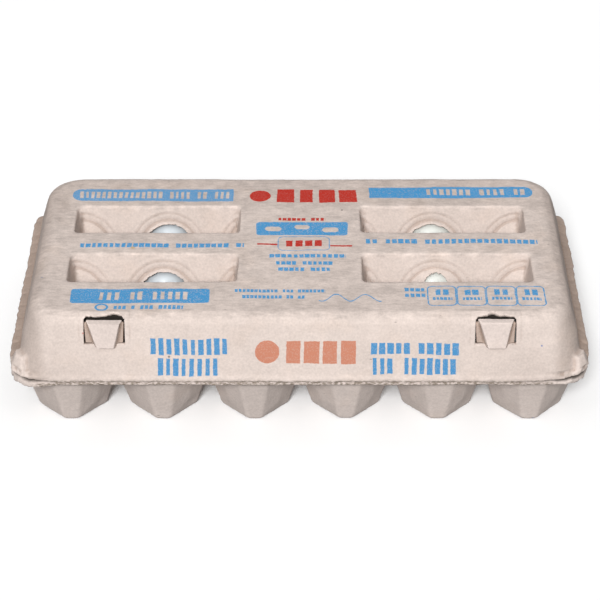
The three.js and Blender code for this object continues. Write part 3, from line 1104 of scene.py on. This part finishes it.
def pulp_colour(tree, point, colour):
    """Moulded pulp: cloudy, streaked along X, grainy, with a few dark and blue fibres."""
    cloudy = noise(tree, point, 34, 3)
    patches = noise(tree, point, 7, 4)
    grain = noise(tree, point, 1.1, 3)
    streaks = noise(tree, stretched(tree, point, 0.36), 1.7, 3)
    on_top = ramp(tree, split(tree, point)[2], 65.5, 67.0)
    uneven = minus(tree, calc(tree, "ADD", streaks, patches), 1.0)
    uneven = times(tree, uneven, scaled(tree, on_top, 0.75, 0.25))
    level = 0.70
    for value, weight in ((cloudy, 0.22), (grain, 0.38), (uneven, 0.55)):
        level = scaled(tree, value, weight, level)
    shaded = calc_vector(tree, "MULTIPLY", colour, join(tree, level, level, level))
    warm = ramp(tree, noise(tree, point, 19, 2), 0.52, 0.75)
    shaded = tint(tree, times(tree, warm, 0.25), shaded, WARM_TINT)
    fibres = add_node(tree, "TexVoronoi", {"Vector": stretched(tree, point, 0.45), "Scale": 1 / 5.5})
    kind = split_colour(tree, fibres.outputs["Color"])[0]
    close = ramp(tree, fibres.outputs["Distance"], 0.075, 0.045)
    dark = times(tree, close, calc(tree, "GREATER_THAN", kind, 0.80), 0.45)
    blue = times(tree, close, calc(tree, "LESS_THAN", kind, 0.03), 0.6)
    return mix(tree, blue, mix(tree, dark, shaded, FIBRE_DARK), FIBRE_BLUE)


def stored(tree, name):
    node = tree.nodes.new("ShaderNodeAttribute")
    node.attribute_name = name
    return node.outputs["Fac"]


def painted_shade_and_highlight(tree, colour):
    """Painted shade in hollows, painted highlights on sharp edges, and painted deep shade between the rims.
    """
    hollow = stored(tree, "hollow")
    colour = tint(tree, times(tree, ramp(tree, hollow, 0.12, 1.0), 0.42), colour, HOLLOW_SHADE_TINT)
    colour = tint(tree, times(tree, ramp(tree, hollow, -0.12, -1.0), 0.5), colour, EDGE_HIGHLIGHT_TINT)
    return mix(tree, times(tree, stored(tree, "seam_shadow"), 0.88), colour, SEAM_SHADOW_DARK)


def finish_pulp(tree, shader, point, colour):
    """Dull pulp with a fine bump."""
    feed(tree, shader.inputs["Base Color"], colour)
    shader.inputs["Roughness"].default_value = 0.92
    shader.inputs["Specular IOR Level"].default_value = 0.2
    height = scaled(tree, noise(tree, point, 5), 1.2, noise(tree, point, 1.5))
    bump = add_node(tree, "Bump", {"Strength": 0.35, "Distance": 0.35 * MM, "Height": height})
    feed(tree, shader.inputs["Normal"], bump.outputs["Normal"])


def rim_shade(tree, point, colour, grit_and_shade):
    """The side rims are darker, a painted shade, and the front edge has dark grit, stronger on the tray's
    front rim, where it is partly a painted shade under the lid's rim.
    """
    x, y, z = split(tree, point)
    side = ramp(tree, size_of(tree, x), 145.0, 147.0)
    share = times(tree, side, ramp(tree, z, 38.0, 36.5), ramp(tree, y, -66.0, -58.0))
    colour = tint(tree, share, colour, PULP_RIM_SHADE)
    grit = ramp(tree, noise(tree, stretched(tree, point, 0.5), 0.9, 3), 0.34, 0.62)
    share = times(tree, ramp(tree, y, -77.0, -77.6), ramp(tree, z, 34.6, 33.9), grit, grit_and_shade)
    return mix(tree, share, colour, GRIT_AND_SHADE_DARK)


def side_shade(tree, point, colour):
    """Painted shade on the sides, back and ends of the front wall, but for the light fold at each front
    corner.
    """
    x, y, z = split(tree, point)
    across = size_of(tree, x)
    beside = ramp(tree, scaled(tree, z, -0.15, calc(tree, "ADD", across, 9.9)), 129.5, 138.5)
    low_end = times(tree, ramp(tree, across, 70.0, 120.0), ramp(tree, z, 56.0, 42.0), 0.3)
    back_left = times(tree, ramp(tree, x, -122.0, -131.0), ramp(tree, y, 5.0, 45.0), 0.7)
    back = times(tree, ramp(tree, y, 30.0, 44.0), 0.3)
    share = beside
    for other in (low_end, back_left, back):
        share = calc(tree, "MAXIMUM", share, other)
    fold = times(tree, ramp(tree, y, -58.0, -63.0), ramp(tree, z, 46.0, 43.0))
    fold = times(tree, fold, ramp(tree, across, 138.0, 140.5))
    return tint(tree, times(tree, share, scaled(tree, fold, -0.9, 1.0)), colour, PULP_SIDE_SHADE)


def print_on(tree, point, colour, distance, here, shade, least):
    """Lays one ink over the pulp where the distance is below zero; on pits it covers least of it."""
    ragged = scaled(tree, noise(tree, point, 1.4, 2), 0.7, minus(tree, distance, 0.35))
    inside = ramp(tree, ragged, 0.16, -0.16)
    cover = scaled(tree, ramp(tree, noise(tree, point, 0.7, 3), 0.36, 0.50), 0.96 - least, least)
    return mix(tree, times(tree, inside, cover, here), colour, shade)


def drifted(tree, point):
    """The place in the print, which waves a little over the uneven pulp."""
    shift = calc_vector(tree, "SUBTRACT", noise(tree, point, 26, output="Color"), (0.5, 0.5, 0.5))
    return calc_vector(tree, "ADD", point, calc_vector(tree, "MULTIPLY", shift, (2.0, 2.0, 2.0)))


def lid_material():
    material, tree, shader = new_material("lid_pulp_print")
    point = place_in_mm(tree)
    colour = rim_shade(tree, point, side_shade(tree, point, pulp_colour(tree, point, PULP_LID)), 0.7)
    groups = {"block": make_block_group(), "row": make_row_group()}
    print_x, print_y, print_z = split(tree, drifted(tree, point))
    on_top = join(tree, print_x, print_y, 0.0)
    on_front = join(tree, print_x, print_z, 0.0)
    x, y, z = split(tree, point)
    top = calc(tree, "GREATER_THAN", z, PRINT_TOP_Z)
    before = calc(tree, "LESS_THAN", y, PRINT_FRONT_Y)
    front = times(tree, before, calc(tree, "LESS_THAN", z, PRINT_FRONT_TOP_Z))
    # The bar at the back left is printed thinner
    thin = times(tree, ramp(tree, y, 36.0, 40.0), ramp(tree, x, -25.0, -30.0))
    top_thinned = times(tree, top, scaled(tree, thin, -0.12, 1.0))
    for draw, face, here, shade, least in (
            (top_blue, on_top, top_thinned, INK_TOP_BLUE, 0.62),
            (top_red, on_top, top, INK_RED, 0.84),
            (front_blue, on_front, front, INK_FRONT_BLUE, 0.78),
            (front_coral, on_front, front, INK_CORAL, 0.78)):
        ink = Print(tree, face, groups)
        draw(ink)
        colour = print_on(tree, point, colour, ink.distance, here, shade, least)
    for *centre, size, stain in SPECKS:
        away = calc_vector(tree, "LENGTH", calc_vector(tree, "SUBTRACT", point, tuple(centre)))
        colour = mix(tree, times(tree, ramp(tree, away, size, size * 0.4), 0.75), colour, stain)
    finish_pulp(tree, shader, point, painted_shade_and_highlight(tree, colour))
    return material


def tray_material():
    material, tree, shader = new_material("tray_pulp_grey")
    point = place_in_mm(tree)
    colour = painted_shade_and_highlight(tree, rim_shade(tree, point, pulp_colour(tree, point, PULP_TRAY), 0.9))
    _, y, z = split(tree, point)
    # The tabs are the colour of the lid in front, with painted shade at their sides and wings and a painted
    # black shadow behind the slots
    at_tab = calc(tree, "GREATER_THAN", z, 40.0)
    colour = tint(tree, at_tab, colour, TAB_TINT)
    depth = minus(tree, y, scaled(tree, z, WALL_LEAN, front_y(0.0)))
    # Painted shade on the tab's sides and wings, behind the button's front
    behind = ramp(tree, depth, 0.2 - BUTTON_OUT, 2.4 - BUTTON_OUT)
    tab_side_shade = times(tree, at_tab, behind, ramp(tree, z, 65.4, 64.4))
    colour = tint(tree, tab_side_shade, colour, TAB_SIDE_SHADE)
    # Painted black shadow behind the slots
    inside = times(tree, at_tab, ramp(tree, y, -68.4, -67.2))
    finish_pulp(tree, shader, point, mix(tree, inside, colour, SLOT_SHADOW_BLACK))
    return material


def egg_material():
    """White shell, cooler at the left end, creamier at the right, with a painted shadow under a window's
    edge.
    """
    material, tree, shader = new_material("egg_shell_white")
    point = place_in_mm(tree)
    x, _, z = split(tree, point)
    warm = ramp(tree, x, -40.0, 40.0)
    colour = mix(tree, warm, SHELL_COOL, SHELL_WARM)
    spots = ramp(tree, noise(tree, point, 0.8, 2), 0.35, 0.65)
    colour = tint(tree, times(tree, spots, 0.25), colour, SHELL_SPOT_TINT)
    # Painted shadow on the shell under a window's edge
    across = minus(tree, size_of(tree, x), WINDOW_X)
    above = minus(tree, z, WINDOW_TOP_Z - WINDOW_RADIUS)
    rim = ramp(tree, calc_vector(tree, "LENGTH", join(tree, across, above, 0.0)), 9.0, WINDOW_RADIUS)
    share = times(tree, rim, scaled(tree, warm, -0.3, 0.85))
    feed(tree, shader.inputs["Base Color"], tint(tree, share, colour, SHELL_SHADOW_TINT))
    shader.inputs["Roughness"].default_value = 0.28
    return material


# Camera, light and floor

def aim(obj, direction):
    obj.rotation_euler = Vector(direction).to_track_quat("-Z", "Y").to_euler()


def add_camera():
    data = bpy.data.cameras.new("camera")
    data.sensor_width = SENSOR_MM
    data.lens = FOCAL_PIXELS / IMAGE_PIXELS * SENSOR_MM
    camera = link("camera", data)
    away = Vector((0, -math.cos(CAMERA_ELEVATION), math.sin(CAMERA_ELEVATION)))
    camera.location = Vector((0, 0, CAMERA_TARGET_Z * MM)) + CAMERA_DISTANCE * MM * away
    aim(camera, -away)
    bpy.context.scene.camera = camera


def add_softbox(x):
    data = bpy.data.lights.new("softbox", "AREA")
    data.shape = "RECTANGLE"
    data.size, data.size_y = SOFTBOX_SIZE
    data.energy = SOFTBOX_POWER
    light = link("softbox", data)
    light.location = (x, *SOFTBOX_PLACE)
    aim(light, SOFTBOX_TARGET - light.location)


def add_key():
    data = bpy.data.lights.new("key", "SUN")
    data.energy = KEY_LIGHT
    data.angle = KEY_SOFTNESS
    aim(link("key", data), (KEY_ASIDE, math.cos(KEY_ELEVATION), -math.sin(KEY_ELEVATION)))


def add_floor():
    corners = [(-FLOOR_HALF, -FLOOR_HALF, 0), (FLOOR_HALF, -FLOOR_HALF, 0),
               (FLOOR_HALF, FLOOR_HALF, 0), (-FLOOR_HALF, FLOOR_HALF, 0)]
    floor = make_object("floor", corners, [(0, 1, 2, 3)])
    material, _, shader = new_material("floor_white")
    shader.inputs["Base Color"].default_value = (0.99, 0.99, 0.99, 1)
    shader.inputs["Roughness"].default_value = 0.9
    floor.data.materials.append(material)
    floor.visible_diffuse = False


def add_studio():
    world = bpy.data.worlds.new("studio")
    world.use_nodes = True
    tree = world.node_tree
    background = tree.nodes["Background"]
    background.inputs["Color"].default_value = (1, 1, 1, 1)
    # Less light comes from the left and the right
    direction = split(tree, tree.nodes.new("ShaderNodeTexCoord").outputs["Generated"])
    aside = ramp(tree, size_of(tree, direction[0]), 0.4, 0.9)
    strength = scaled(tree, aside, -WORLD_SIDE_LOSS * WORLD_LIGHT, WORLD_LIGHT)
    feed(tree, background.inputs["Strength"], strength)
    bpy.context.scene.world = world
    add_key()
    for x in SOFTBOX_X:
        add_softbox(x)


bpy.context.scene.view_settings.view_transform = "Standard"
add_camera()
add_floor()
add_studio()


def hand_over(piece, node, material):
    """Gives a finished piece its material and its place in the frame."""
    piece.data.materials.clear()
    piece.data.materials.append(material)
    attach(piece, "root")
    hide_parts(node)


hand_over(make_lid(), "lid", lid_material())
tray_pulp = tray_material()
hand_over(make_tray(), "tray", tray_pulp)
for side, name in ((-1, "latch_left"), (1, "latch_right")):
    hand_over(make_latch(name, side), "tray", tray_pulp)
shell = egg_material()
for row, column, x, y in cells():
    place = f"r{row + 1}_c{column + 1}"
    hand_over(make_egg(f"shell_{place}", x, y), f"egg_{place}", shell)
